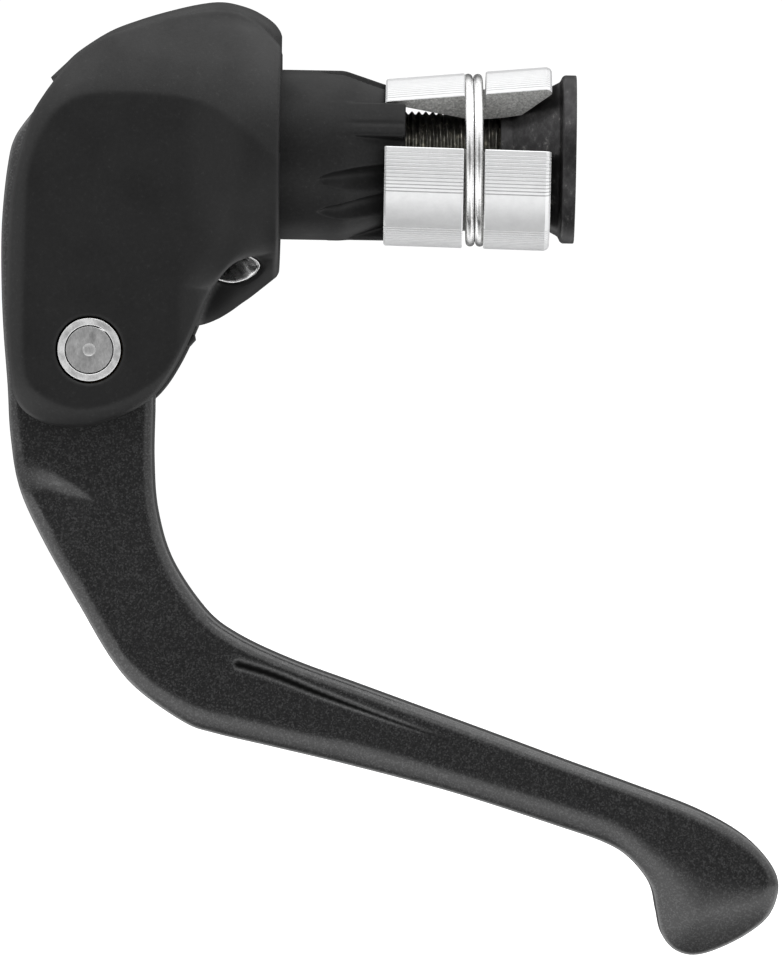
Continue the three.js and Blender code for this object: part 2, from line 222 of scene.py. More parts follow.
def field_object(name, field, low, high, step, material):
    """The zero surface of a distance field, in quads of about one step.

    The low corner is chosen so that no flat face of the field lies in a plane of the grid.
    """
    low, high = np.array(low, dtype=float), np.array(high, dtype=float)
    counts = np.ceil((high - low) / step).astype(int) + 1
    axes = [low[i] + step * np.arange(counts[i]) for i in range(3)]
    values = field(axes[0][:, None, None], axes[1][None, :, None], axes[2][None, None, :])
    values = np.broadcast_to(values, tuple(counts)).astype(np.float32)
    grid = openvdb.FloatGrid(float(values.max()))
    grid.copyFromArray(np.ascontiguousarray(values))
    points, quads = grid.convertToQuads(isovalue=0.0)
    slopes = [np.gradient(values, step, axis=i) for i in range(3)]
    vertices = points.astype(float)
    for _ in range(SNAP_ROUNDS):
        cell = np.clip(np.floor(vertices).astype(int), 0, counts - 2)
        part = vertices - cell
        gradient = np.zeros_like(vertices)
        for corner in np.ndindex(2, 2, 2):
            weight = np.prod(np.where(np.array(corner), part, 1 - part), axis=1)
            index = tuple((cell + corner).T)
            for i in range(3):
                gradient[:, i] += weight * slopes[i][index]
        place = low + vertices * step
        value = field(place[:, 0], place[:, 1], place[:, 2])
        size2 = np.maximum(np.sum(gradient ** 2, axis=1), 0.25)
        move = -(value / size2)[:, None] * gradient
        length = np.linalg.norm(move, axis=1, keepdims=True)
        move *= np.minimum(1.0, 0.5 * step / np.maximum(length, 1e-9))
        vertices = vertices + move / step
    return make_object(name, low + vertices * step, quads, material)


def ring_faces(count, sides, closed):
    """Quads between neighbouring rings of points; `closed` joins the last ring to the first."""
    faces = []
    for i in range(count if closed else count - 1):
        j = (i + 1) % count
        for k in range(sides):
            m = (k + 1) % sides
            faces.append([i * sides + k, i * sides + m, j * sides + m, j * sides + k])
    return faces


def weld_and_face_out(obj):
    """Joins vertices that lie together and turns every face outwards."""
    bm = bmesh.new()
    bm.from_mesh(obj.data)
    bmesh.ops.remove_doubles(bm, verts=bm.verts, dist=WELD_DISTANCE)
    bmesh.ops.dissolve_degenerate(bm, edges=bm.edges, dist=0.1 * WELD_DISTANCE)
    bmesh.ops.recalc_face_normals(bm, faces=bm.faces)
    bm.to_mesh(obj.data)
    bm.free()


def lofted_object(name, rings, material, closed=False):
    """A surface through rings of points, capped at its two ends unless it is closed."""
    count, sides = len(rings), len(rings[0])
    faces = ring_faces(count, sides, closed)
    if not closed:
        faces += [list(range(sides))[::-1], list(range((count - 1) * sides, count * sides))]
    obj = make_object(name, np.vstack(rings), faces, material)
    weld_and_face_out(obj)
    return obj


def turned_object(name, profile, material, axis="X", centre=(0, 0, 0), sides=96, sharp=35):
    """A closed profile of (along, radius) turned about an axis through the centre."""
    turn = np.linspace(0, 2 * math.pi, sides, endpoint=False)
    rings = []
    for along, radius in profile:
        u, v = radius * np.cos(turn), radius * np.sin(turn)
        along = np.full(sides, along)
        columns = (along, u, v) if axis == "X" else (u, along, v)
        rings.append(np.stack(columns, axis=1) + np.array(centre))
    obj = lofted_object(name, rings, material, closed=True)
    sharp_edges(obj, sharp)
    return obj


def rounded(profile, radius=0.15, parts=3):
    """A closed profile with every corner rounded."""
    p = np.array(profile, dtype=float)
    result = []
    for before, corner, after in zip(np.roll(p, 1, axis=0), p, np.roll(p, -1, axis=0)):
        a, b = before - corner, after - corner
        la, lb = np.linalg.norm(a), np.linalg.norm(b)
        reach = min(radius, 0.4 * la, 0.4 * lb)
        start, end = corner + a / la * reach, corner + b / lb * reach
        for t in np.linspace(0, 1, parts + 1):
            result.append((1 - t) ** 2 * start + 2 * t * (1 - t) * corner + t ** 2 * end)
    return result


def swept_wire(name, path, radius, material, sides):
    """A round wire along a path of points, with domed ends."""
    tangent = np.gradient(path, axis=0)
    tangent /= np.linalg.norm(tangent, axis=1, keepdims=True)
    normal = np.cross(tangent[0], [0.3, 1.0, 0.2])
    stations = []
    for point, t in zip(path, tangent):
        normal = normal - t * (normal @ t)
        normal = normal / np.linalg.norm(normal)
        stations.append((point, normal, np.cross(t, normal), radius))
    domes = []
    for end, sign in ((0, -1), (-1, 1)):
        point, u, v, _ = stations[end]
        dome = []
        for angle in np.radians((30, 60, 90)):
            bulge = sign * tangent[end] * radius * 0.6 * math.sin(angle)
            dome.append((point + bulge, u, v, radius * max(math.cos(angle), 0.02)))
        domes.append(dome)
    turn = np.linspace(0, 2 * math.pi, sides, endpoint=False)[:, None]
    rings = [centre + r * (np.cos(turn) * u + np.sin(turn) * v)
             for centre, u, v, r in domes[0][::-1] + stations + domes[1]]
    return lofted_object(name, rings, material)


# ---------- materials ----------
FACTOR, FIRST, SECOND, RESULT = 0, 6, 7, 2  # a mix node's sockets for colours


def socket_name(key):
    """A shader socket's name, such as Specular IOR Level for specular_ior_level."""
    return key.replace("_", " ").title().replace("Ior", "IOR")


def set_ramp(node, stops):
    """Gives a colour ramp its stops of (place, grey level or colour)."""
    elements = node.color_ramp.elements
    while len(elements) < len(stops):
        elements.new(0.5)
    for element, (place, level) in zip(elements, stops):
        element.position = place
        element.color = (*level, 1.0) if isinstance(level, tuple) else (level, level, level, 1.0)


class Surface:
    """A principled material, with procedural nodes worked out from object coordinates."""

    def __init__(self, name, color, roughness, metallic=0.0, **sockets):
        self.material = bpy.data.materials.new(name)
        self.material.use_nodes = True
        self.nodes = self.material.node_tree.nodes
        self.links = self.material.node_tree.links
        self.shader = self.nodes["Principled BSDF"]
        self.shader.inputs["Base Color"].default_value = (*color, 1.0)
        self.shader.inputs["Roughness"].default_value = roughness
        self.shader.inputs["Metallic"].default_value = metallic
        for socket, value in sockets.items():
            self.shader.inputs[socket_name(socket)].default_value = value
        self.coordinates = self.nodes.new("ShaderNodeTexCoord").outputs["Object"]
        self.normal = None

    def noise(self, scale, detail=2.0, roughness=0.5, stretch=(1, 1, 1), turn=(0, 0, 0)):
        mapping = self.nodes.new("ShaderNodeMapping")
        mapping.inputs["Rotation"].default_value = [math.radians(angle) for angle in turn]
        mapping.inputs["Scale"].default_value = stretch
        self.links.new(self.coordinates, mapping.inputs["Vector"])
        node = self.nodes.new("ShaderNodeTexNoise")
        node.inputs["Scale"].default_value = scale
        node.inputs["Detail"].default_value = detail
        node.inputs["Roughness"].default_value = roughness
        self.links.new(mapping.outputs["Vector"], node.inputs["Vector"])
        return node.outputs["Fac"]

    def cells(self, scale):
        node = self.nodes.new("ShaderNodeTexVoronoi")
        node.inputs["Scale"].default_value = scale
        self.links.new(self.coordinates, node.inputs["Vector"])
        return node.outputs["Color"]

    def rings(self, scale, distortion):
        """Bands along the bar's axis, as a lathe leaves them."""
        node = self.nodes.new("ShaderNodeTexWave")
        node.wave_type = "BANDS"
        node.bands_direction = "X"
        node.inputs["Scale"].default_value = scale
        node.inputs["Distortion"].default_value = distortion
        node.inputs["Detail"].default_value = 2.0
        self.links.new(self.coordinates, node.inputs["Vector"])
        return node.outputs["Fac"]

    def ramp(self, value, *stops):
        node = self.nodes.new("ShaderNodeValToRGB")
        set_ramp(node, stops)
        self.links.new(value, node.inputs["Fac"])
        return node.outputs["Color"]

    def color(self, value, *stops):
        self.links.new(self.ramp(value, *stops), self.shader.inputs["Base Color"])
        return self

    def roughness(self, value, *stops):
        self.links.new(self.ramp(value, *stops), self.shader.inputs["Roughness"])
        return self

    def bump(self, value, depth, strength=1.0):
        """Raises the surface by up to the depth, in millimetres."""
        node = self.nodes.new("ShaderNodeBump")
        node.inputs["Strength"].default_value = strength
        node.inputs["Distance"].default_value = depth * MM
        self.links.new(value, node.inputs["Height"])
        if self.normal:
            self.links.new(self.normal, node.inputs["Normal"])
        self.normal = node.outputs["Normal"]
        self.links.new(self.normal, self.shader.inputs["Normal"])
        return self

    def paint_shade(self, colour, **sockets):
        """Paints shade: fades to the colour, and each socket from its first value to its second, where the
        mesh carries painted shade.
        """
        attribute = self.nodes.new("ShaderNodeAttribute")
        attribute.attribute_name = "painted_shade"
        amount = attribute.outputs["Fac"]
        for key, (full, least) in sockets.items():
            fade = self.nodes.new("ShaderNodeMapRange")
            fade.inputs["To Min"].default_value = full
            fade.inputs["To Max"].default_value = least
            self.links.new(amount, fade.inputs["Value"])
            self.links.new(fade.outputs["Result"], self.shader.inputs[socket_name(key)])
        base = self.shader.inputs["Base Color"]
        mixer = self.nodes.new("ShaderNodeMix")
        mixer.data_type = "RGBA"
        mixer.inputs[SECOND].default_value = (*colour, 1.0)
        self.links.new(amount, mixer.inputs[FACTOR])
        self.links.new(base.links[0].from_socket, mixer.inputs[FIRST])
        self.links.new(mixer.outputs[RESULT], base)
        return self


def black_resin(name, shine):
    s = Surface(name, (0.013, 0.013, 0.0132), 0.5, specular_ior_level=shine)
    s.color(s.noise(2600, 3, 0.7), (0.3, (0.009, 0.009, 0.0092)), (0.62, (0.014, 0.014, 0.0142)),
            (0.78, (0.03, 0.03, 0.03)))
    s.roughness(s.noise(240, 3), (0.3, 0.44), (0.7, 0.58))
    # painted shade: darker and less shiny where the mesh carries it
    s.paint_shade((0.009, 0.009, 0.0092), specular_ior_level=(shine, 0.1))
    s.bump(s.noise(5200, 2, 0.6), 0.010)
    return s.bump(s.noise(60, 2), 0.02, 0.4).material


def gloss_black():
    s = Surface("gloss_black", (0.008, 0.008, 0.0085), 0.4, 0.3, specular_ior_level=0.4, coat_weight=1.0,
                coat_roughness=0.08)
    s.color(s.cells(6500), (0.2, (0.007, 0.007, 0.0075)), (0.55, (0.016, 0.016, 0.0165)),
            (0.85, (0.055, 0.055, 0.056)))
    s.roughness(s.noise(3000, 2), (0.3, 0.26), (0.7, 0.42))
    # painted shade: darker, with the coat and shine taken off, where the mesh carries it
    s.paint_shade((0.004, 0.004, 0.004), coat_weight=(1.0, 0.0), specular_ior_level=(0.4, 0.1))
    return s.bump(s.noise(6500, 1), 0.006, 0.6).material


def rubber():
    s = Surface("rubber", (0.012, 0.012, 0.012), 0.75)
    s.color(s.noise(1800, 3), (0.3, 0.009), (0.8, 0.016))
    return s.bump(s.noise(3500, 3), 0.02).material


def bright_aluminium():
    s = Surface("bright_aluminium", (0.9, 0.905, 0.91), 0.44, 0.6)
    s.color(s.noise(900, 4, 0.7), (0.25, (0.86, 0.865, 0.87)), (0.75, (0.96, 0.965, 0.97)))
    s.roughness(s.noise(420, 3, stretch=(0.1, 1, 1)), (0.3, 0.38), (0.7, 0.5))
    # painted shade: darker grey where the mesh carries it
    s.paint_shade((0.5, 0.5, 0.505))
    return s.bump(s.noise(4200, 2, stretch=(0.06, 1, 1)), 0.006).material


def blasted_aluminium():
    s = Surface("blasted_aluminium", (0.3, 0.3, 0.29), 0.6, 0.7)
    s.color(s.noise(3600, 3, 0.75), (0.3, (0.28, 0.28, 0.275)), (0.5, (0.52, 0.52, 0.51)),
            (0.75, (0.85, 0.85, 0.83)))
    return s.bump(s.noise(4200, 3, 0.8), 0.05).material


def dark_anodised():
    s = Surface("dark_anodised", (0.05, 0.048, 0.05), 0.35, 0.8)
    scratches = s.noise(1500, 4, 0.75, (1.0, 0.12, 0.6), (0, 50, 20))
    s.color(scratches, (0.42, (0.034, 0.033, 0.034)), (0.6, (0.055, 0.054, 0.055)),
            (0.74, (0.17, 0.166, 0.162)))
    s.roughness(s.noise(300, 3), (0.3, 0.28), (0.7, 0.45))
    return s.bump(s.rings(2600, 0.4), 0.006).material


def steel(name, roughness, stretch, level):
    s = Surface(name, (level, level, level * 0.985), roughness, 1.0)
    s.color(s.noise(5200, 4, 0.7, stretch), (0.3, level * 0.78), (0.7, level * 1.15))
    s.roughness(s.noise(900, 2, 0.5, stretch), (0.3, roughness * 0.8), (0.7, roughness * 1.35))
    return s.bump(s.noise(2400, 2, 0.6, stretch), 0.008, 0.8).material


def dark_steel():
    s = Surface("dark_steel", (0.16, 0.155, 0.14), 0.34, 0.9)
    # The darker stops are the steel's own varied tone; the brightest stop paints scattered golden glints, a
    # painted highlight standing in for light caught on the thread's crests.
    s.color(s.noise(1300, 4, 0.75), (0.35, (0.07, 0.068, 0.064)), (0.58, (0.17, 0.165, 0.145)),
            (0.78, (0.75, 0.71, 0.6)))
    return s.bump(s.noise(2500, 3), 0.012).material


def bronze():
    s = Surface("bronze", (0.42, 0.3, 0.16), 0.42, 1.0)
    s.color(s.noise(1500, 3), (0.3, (0.34, 0.24, 0.13)), (0.75, (0.5, 0.36, 0.2)))
    return s.bump(s.noise(3000, 2), 0.008).material


RESIN = black_resin("black_resin", 0.38)
PLUG_RESIN = black_resin("plug_resin", 0.25)
GLOSS = gloss_black()
RUBBER = rubber()
BRIGHT = bright_aluminium()
BLASTED = blasted_aluminium()
ANODISED = dark_anodised()
GROUND_STEEL = steel("ground_steel", 0.45, (1, 1, 0.5), 0.52)
BRIGHT_STEEL = steel("bright_steel", 0.4, (1, 1, 1), 1.0)
POLISHED_STEEL = steel("polished_steel", 0.22, (1, 1, 1), 0.95)
PORT_STEEL = steel("port_steel", 0.24, (0.25, 1, 1), 0.85)
DARK_STEEL = dark_steel()
BRONZE = bronze()


def declare(obj, body, node):
    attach(obj, body)
    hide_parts(node)


# ---------- bracket ----------
SHOULDER_R = 13.4
SHOULDER_Z = 0.3
CHEEK_HALF = 10.5
SLOT_HALF = 6.0
CAP_HALF = 5.0  # the hood's crowned cap along the top
CAP_HEIGHT = 1.35
CAP_STEP = 0.15  # how far the cheeks stand out at least beside the cap
CROWN_FALL = (0.35, 0.53)  # how far the crown falls to the edge: at once, and per width of its band
EDGE_BAND = 0.3  # least width of the band that slopes from a flat face to an edge
SHOULDER_SWELL = 1.6  # how much wider the round behind the shoulder is than the shoulder
SHOULDER_BLEND = (-11.0, -0.4)
AXLE_SEAT_R = 3.6
RECESS_X = -2.5  # the shoulder's recess takes the plug's root
RECESS_R = 9.3
BOLT_HOLE_X = -5.0  # behind this the bolt's head has room to turn
BOLT_HOLE_R = 7.4
BORE_R = 5.0
BELLY_END = -12.0

BODY_TOP = [(0.0, 11.2), (-1.63, 13.0), (-2.95, 14.1), (-4.8, 15.0), (-6.86, 15.25), (-9.98, 14.95),
            (-13.4, 14.15), (-16.1, 13.25), (-19.0, 12.2), (-21.47, 10.7), (-23.48, 8.6), (-25.2, 6.2)]
BODY_SIDE = [(-26.5, 4.1), (-27.2, 2.2), (-28.0, -0.6), (-28.6, -3.6), (-29.0, -7.6), (-29.1, -16.2),
             (-28.9, -21.1), (-28.5, -24.6), (-28.15, -26.5), (-27.2, -28.1), (-25.4, -29.3),
             (-23.2, -29.85), (-20.7, -29.9), (-18.7, -29.45), (-14.9, -27.75), (-12.5, -25.7),
             (-10.5, -22.55), (-8.75, -18.7), (-7.6, -15.7), (-6.45, -13.9), (-4.8, -12.2), (-3.0, -11.3),
             (0.0, -10.9)]
HOOD = [(0.0, 12.8), (-0.9, 14.1), (-2.5, 15.2), (-4.2, 15.9), (-6.5, 16.35), (-9.0, 16.1), (-12.3, 15.3),
        (-15.5, 14.3), (-18.7, 13.0), (-21.9, 10.9), (-23.5, 9.4), (-25.05, 7.9)]
HOOD_LIP = [(-24.75, 7.35), (-23.9, 7.3), (-20.0, 6.0), (0.0, 6.0)]
FLAT_TOP = [(-27.1, -4.0), (-26.8, -1.8), (-26.0, 0.5), (-25.1, 2.3), (-23.8, 4.1), (-21.7, 5.4),
            (-18.8, 5.9), (-13.8, 5.9), (-9.8, 5.4), (-7.2, 4.5), (-4.9, 3.0), (-2.0, 0.5), (2.0, -3.4)]
FLAT_FOOT = [(2.0, -10.3), (-3.1, -10.6), (-5.3, -12.0), (-8.2, -16.5), (-10.1, -21.0), (-12.2, -24.2),
             (-15.4, -26.4), (-18.8, -27.7), (-22.1, -27.8), (-25.4, -26.3), (-26.9, -24.0), (-27.2, -18.0),
             (-27.1, -4.0)]
BELLY_DEPTH = [(-11.8, 19.2), (-9.8, 19.15), (-8.1, 18.85), (-6.6, 18.25), (-5.2, 17.4), (-4.0, 16.5),
               (-2.9, 15.7), (-0.7, 13.9), (-0.1, 13.4)]
BELLY_HALF = ([-11.5, -7.0, -3.0, 0.0], [7.6, 8.2, 10.6, SHOULDER_R])
BELLY_SCALE = 8.0  # turns the belly's ratio into about a distance
SLOT = [(-60, -60), (-7.4, -60), (-7.4, -19.3), (-11.2, -17.8), (-11.2, 8.0), (-14.5, 10.6), (-20.0, 8.4),
        (-24.2, 7.25), (-60, 7.25)]
PORT = np.array((-4.1, -6.6, -13.0))
PORT_AXIS = np.array((-0.8, 0.35, 0.48)) / math.hypot(0.8, 0.35, 0.48)
PORT_R = 2.2
PORT_ENDS = (-6.0, 11.0)
BODY = Outline(BODY_TOP, BODY_SIDE, BODY_TOP[:1])
FLAT = Outline(FLAT_TOP, FLAT_FOOT)


def along_port(x, y, z):
    """Places along the cable port and distances from its axis, on both flanks."""
    dx, dy, dz = x - PORT[0], -np.abs(y) - PORT[1], z - PORT[2]
    along = dx * PORT_AXIS[0] + dy * PORT_AXIS[1] + dz * PORT_AXIS[2]
    away = np.sqrt(np.maximum(dx * dx + dy * dy + dz * dz - along * along, 0))
    return along, away


def bracket_field(whole=False):
    """The bracket, or with `whole` its outer skin without any of the openings."""
    hood = Outline(HOOD, *[[point] for point in HOOD_LIP], HOOD[:1])
    slot = polygon(SLOT)
    belly_line = smooth_curve(BELLY_DEPTH).T

    def field(x, y, z):
        side = np.abs(y)
        edge = BODY.distance(x, z)
        beyond = np.maximum(FLAT.distance(x, z), 0)
        width = np.maximum(beyond - edge, EDGE_BAND)
        t = np.clip(beyond / width, 0, 1.2)
        cheek = CHEEK_HALF - (CROWN_FALL[0] + CROWN_FALL[1] * width) * (0.5 * t + 0.5 * t * t)
        swell = SHOULDER_R + SHOULDER_SWELL * smoothstep(0.0, -6.0, x)
        circle = np.sqrt(np.maximum(swell ** 2 - (z - SHOULDER_Z) ** 2, 0.04))
        half = mix(cheek, circle, smoothstep(*SHOULDER_BLEND, x))
        least = CAP_HALF + CAP_STEP
        half = 0.5 * (half + least + np.sqrt((half - least) ** 2 + 1.0))
        shell = round_max((side - half) * 0.9, edge, 0.4)

        rise = np.maximum(hood.distance(x, z) + CAP_HEIGHT, 0) / CAP_HEIGHT
        cap = CAP_HEIGHT * (np.hypot(y / CAP_HALF, rise) - 1.0)

        depth = np.interp(x, *belly_line)
        wide = np.interp(x, *BELLY_HALF)
        belly = BELLY_SCALE * (np.hypot(y / wide, (z - SHOULDER_Z) / depth) - 1.0)
        belly = round_max(np.maximum(belly, z), BELLY_END - x, 0.4)

        skin = round_max(np.minimum(np.minimum(shell, cap), belly), x, 0.35)
        if whole:
            return skin
        r = np.hypot(y, z)
        axle = np.hypot(x - PIVOT_X, z - PIVOT_Z)
        along, away = along_port(x, y, z)
        port = np.maximum(np.maximum(away - PORT_R, PORT_ENDS[0] - along), along - PORT_ENDS[1])
        solid = round_max(skin, -round_max(side - SLOT_HALF, slot.distance(x, z), 0.3), 0.25)
        solid = round_max(solid, -np.maximum(r - BOLT_HOLE_R, x - BOLT_HOLE_X), 0.2)
        solid = np.maximum(solid, BORE_R - r)
        solid = np.maximum(solid, -np.maximum(r - RECESS_R, RECESS_X - x))
        solid = round_max(solid, AXLE_SEAT_R - axle, 0.2)
        return round_max(solid, -port, 0.2)

    return field


def make_bracket():
    low, high = (-30.27, -14.47, -31.07), (1.2, 14.4, 17.4)
    obj = field_object("bracket_shell", bracket_field(), low, high, 0.28, RESIN)
    x, y, z = vertex_places(obj)
    # Painted shade: the belly under the neck is darkened and its shine taken off, and the flat cheeks more
    # lightly, standing in for the shade they lie in.
    belly = smoothstep(0.25, 0.6, BODY.distance(x, z)) * smoothstep(-10.6, -11.6, z)
    belly = belly * smoothstep(-0.3, -0.8, x)
    cheek = 0.35 * smoothstep(0.6, -0.4, FLAT.distance(x, z)) * smoothstep(8.5, 9.5, np.abs(y))
    set_painted_shade(obj, np.maximum(belly, cheek))
    declare(obj, "bracket", "bracket_body")


# ---------- lever ----------
ARM_HALF = 5.7
BLADE_HALF = 6.6
TIP_THINNING = 0.6
BEVEL_FALL = (0.2, 0.36)  # as the bracket's CROWN_FALL
SCOOP_DEPTH = 0.3  # of the long groove in the blade's side
LEVER_TOP = (-24.3, 7.0)
LEVER_FRONT = [(-25.4, 6.1), (-26.4, 4.5), (-28.6, 1.4), (-29.4, -1.8), (-29.9, -7.5), (-29.9, -13.0),
               (-29.6, -19.0), (-29.0, -25.4), (-28.6, -30.8), (-27.6, -36.2), (-25.2, -41.5),
               (-20.5, -49.6), (-17.2, -54.9), (-14.2, -58.2), (-9.3, -61.5), (-6.0, -62.6), (0.5, -64.0),
               (9.1, -65.9), (20.0, -68.6), (30.9, -71.9), (36.3, -73.7), (39.0, -75.4), (41.2, -78.2),
               (41.9, -80.9), (42.5, -83.4), (43.9, -85.1), (46.0, -85.7), (48.6, -85.0), (51.9, -83.2),
               (54.2, -81.0), (55.0, -77.9), (53.9, -75.3), (51.1, -72.6), (46.2, -70.0), (39.0, -67.4),
               (31.7, -64.9), (24.3, -62.3), (16.8, -59.7), (9.3, -57.1), (2.1, -54.6), (-3.7, -52.0),
               (-7.3, -49.3), (-11.0, -44.0), (-12.7, -38.6), (-13.2, -33.2), (-13.2, -27.8)]
LEVER_REAR = [(-13.4, -22.0), (-15.0, -16.5), (-18.2, -11.0), (-19.6, -4.0), (-19.9, 3.0), (-21.6, 6.4),
              LEVER_TOP]
FACE_OUTER = [(-26.3, 3.0), (-27.9, -2.0), (-28.4, -10.0), (-28.3, -19.0), (-27.8, -27.8), (-26.9, -33.5),
              (-26.3, -36.4), (-24.4, -39.8), (-21.7, -44.4), (-16.8, -52.6), (-15.4, -54.6),
              (-12.2, -57.4), (-7.7, -59.7), (-2.2, -61.0), (5.3, -62.6), (10.2, -63.5), (25.6, -67.8),
              (32.5, -69.8), (37.9, -71.6), (41.8, -74.0), (45.8, -76.0), (50.0, -77.3), (53.5, -77.8)]
FACE_INNER = [(52.9, -76.0), (50.4, -73.9), (45.6, -71.3), (38.7, -68.6), (24.0, -63.5), (9.0, -58.3),
              (1.6, -55.8), (-4.4, -53.1), (-8.3, -50.1), (-12.1, -44.4), (-13.8, -38.8), (-14.3, -33.2),
              (-14.3, -22.0), (-16.0, -16.5), (-19.0, -11.0), (-20.5, -4.0), (-20.9, 3.0), (-26.3, 3.0)]
GROOVE = [(-3.6, -55.1), (0.2, -56.2), (5.2, -58.1), (12.0, -60.5), (19.1, -62.9)]
RAMP_TOP = [(-30.0, -31.0), (-26.0, -33.3), (-21.2, -36.0), (-18.4, -38.2), (-10.0, -44.0)]
RAMP_FOOT = [(-30.0, -39.5), (-25.2, -37.2), (-21.5, -37.7), (-18.4, -38.6), (-10.0, -44.4)]
POCKET = [(-26.2, 4.4), (-27.8, -8.0), (-27.6, -18.0), (-26.9, -26.5), (-24.0, -28.8), (-17.0, -28.8),
          (-10.0, -26.0), (-10.0, 4.4)]
POCKET_HALF = 3.4
GROOVE_LINE = Outline(GROOVE, closed=False)
PIVOT_HOLE_R = 3.65
HOOK_HOLE_R = 2.3


def lever_field():
    outline = Outline([LEVER_TOP, *LEVER_FRONT], LEVER_REAR)
    face = Outline(FACE_OUTER, FACE_INNER)
    pocket = polygon(POCKET)
    ramp_top = smooth_curve(RAMP_TOP).T
    ramp_foot = smooth_curve(RAMP_FOOT).T

    def field(x, y, z):
        side = np.abs(y)
        edge = outline.distance(x, z)
        beyond = np.maximum(face.distance(x, z), 0)
        width = np.maximum(beyond - edge, EDGE_BAND)
        t = np.clip(beyond / width, 0, 1.2)
        crease = 0.5 - 0.5 * smoothstep(34.0, 48.0, x)
        drop = (BEVEL_FALL[0] + BEVEL_FALL[1] * width) * (crease * t + (1.0 - crease) * t * t)
        top, foot = np.interp(x, *ramp_top), np.interp(x, *ramp_foot)
        step = smoothstep(0.0, 1.0, (top - z) / np.maximum(top - foot, 0.3)) * smoothstep(-17.5, -25.0, x)
        late = smoothstep(-34.0, -56.0, z)
        half = ARM_HALF + (BLADE_HALF - ARM_HALF) * np.maximum(step, late)
        half = half - TIP_THINNING * smoothstep(38.0, 54.0, x)
        scoop_width = mix(0.5, 0.28, smoothstep(0.0, 14.0, x))
        scoop = np.exp(-(GROOVE_LINE.distance(x, z) / scoop_width) ** 2) * smoothstep(22.0, 8.0, x)
        solid = round_max((side - half + drop + SCOOP_DEPTH * scoop) * 0.93, edge, 0.55)
        hollow = round_max(side - POCKET_HALF, pocket.distance(x, z), 0.5)
        solid = round_max(solid, -hollow, 0.2)
        solid = np.maximum(solid, PIVOT_HOLE_R - np.hypot(x - PIVOT_X, z - PIVOT_Z))
        return np.maximum(solid, HOOK_HOLE_R - np.hypot(x - HOOK_X, z - HOOK_Z))

    return field


def make_lever():
    low, high = (-31.27, -7.73, -87.07), (56.2, 7.8, 8.4)
    obj = field_object("lever_forging", lever_field(), low, high, 0.3, GLOSS)
    x, _, z = vertex_places(obj)
    # Painted shade: the long groove in the blade's side is darkened and loses its gloss, standing in for the
    # shade inside it.
    width = mix(0.42, 0.16, smoothstep(GROOVE[0][0], 16.0, x))
    set_painted_shade(obj, smoothstep(1.4, 0.6, GROOVE_LINE.distance(x, z) / width) * smoothstep(24.0, 6.0, x))
    declare(obj, "lever", "lever_blade")


# ---------- plug ----------
PLUG_R = 9.18
PLUG_ENDS = (-2.2, 13.4)
SEAT_X = 7.3  # where the three seats for the segments start
SEAT_R = 9.0
SEAT_SLOPE = math.radians(18)
KEY_R = 9.12
KEY_HALF = 13.0  # degrees
KEYS = (145, 25, 265)  # degrees about the bar's axis, from -Y towards +Z
LINE_TURN = 4  # degrees from a key's middle to the fine line cut along it
LINE_HALF = 0.4
LINE_DEPTH = 0.08
FLUTE_START = 3.9
FLUTE_HALF = 1.45
FLUTE_DEPTH = (0.8, 0.5)  # what it gains over its first 5 mm, and over its first 1 mm
FLUTES = [middle + side for middle in (-31, 89, 209) for side in (-12.2, 12.2)]


def turn_from(angle, middle):
    """Signed degrees from the middle, between -180 and 180."""
    return (angle - middle + 180.0) % 360.0 - 180.0


def plug_field():
    def field(x, y, z):
        r = np.hypot(y, z)
        angle = np.degrees(np.arctan2(z, -y))
        arc = np.radians(1.0) * np.maximum(r, 1.0)
        seat = (r - SEAT_R + (x - SEAT_X) * math.tan(SEAT_SLOPE)) * math.cos(SEAT_SLOPE)
        solid = round_max(r - PLUG_R, seat, 0.15)
        growth = np.maximum(x - FLUTE_START, 0.0)
        width = 0.02 + FLUTE_HALF * (1.0 - np.exp(-growth / 1.9))
        depth = FLUTE_DEPTH[0] * smoothstep(0.0, 5.0, growth) + FLUTE_DEPTH[1] * np.minimum(growth, 1.0)
        for flute in FLUTES:
            across = turn_from(angle, flute) * arc / width
            solid = solid + depth * np.clip(1.0 - across ** 2, 0.0, 1.0)
        for key in KEYS:
            off = np.abs(turn_from(angle, key))
            off_line = np.abs(turn_from(angle, key - LINE_TURN)) * arc / LINE_HALF
            line = LINE_DEPTH * smoothstep(5.0, 9.0, x) * np.clip(1.0 - off_line, 0.0, 1.0)
            rib = round_max(r - KEY_R + line, (off - KEY_HALF) * arc, 0.3)
            rib = np.maximum(rib, SEAT_X - 2.0 - x)
            solid = round_min(solid, rib, 0.2)
        solid = round_max(solid, x - PLUG_ENDS[1], 0.3)
        return np.maximum(np.maximum(solid, PLUG_ENDS[0] - x), BORE_R - r)

    return field


def make_plug():
    low, high = (-3.03, -9.87, -9.87), (14.0, 9.9, 9.9)
    obj = field_object("plug", plug_field(), low, high, 0.2, PLUG_RESIN)
    declare(obj, "bracket", "plug_sleeve")


# ---------- grip segments ----------
SEGMENT_R = 9.4
SEGMENT_X = (11.2, 29.1)
RIDGE_PITCH = 0.39
RIDGE_DEPTH = 0.05
SMOOTH_BAND = 14.3  # degrees either side of the middle, left without ridges
RING_GROOVE_R = 7.5
SEGMENT_BORE_R = 5.75  # clears the draw bolt
SEAT_FALL = 0.36  # how fast the bore narrows along the plug's seat
FLARE_X = 25.7
FLARE_RISE = 0.85  # how fast it widens again over the wedge
SEGMENT_WALL = 0.5  # least thickness over the seat
# name, middle in degrees from -Y towards +Z, half span, outward shift at the left and the right end, drop
SEGMENTS = (("upper", 88.0, 42.0, -1.05, 0.6, 0.0), ("front", -37.0, 44.5, 0.0, 0.5, 0.4),
            ("rear", 205.0, 42.0, -0.3, 0.5, 0.0))


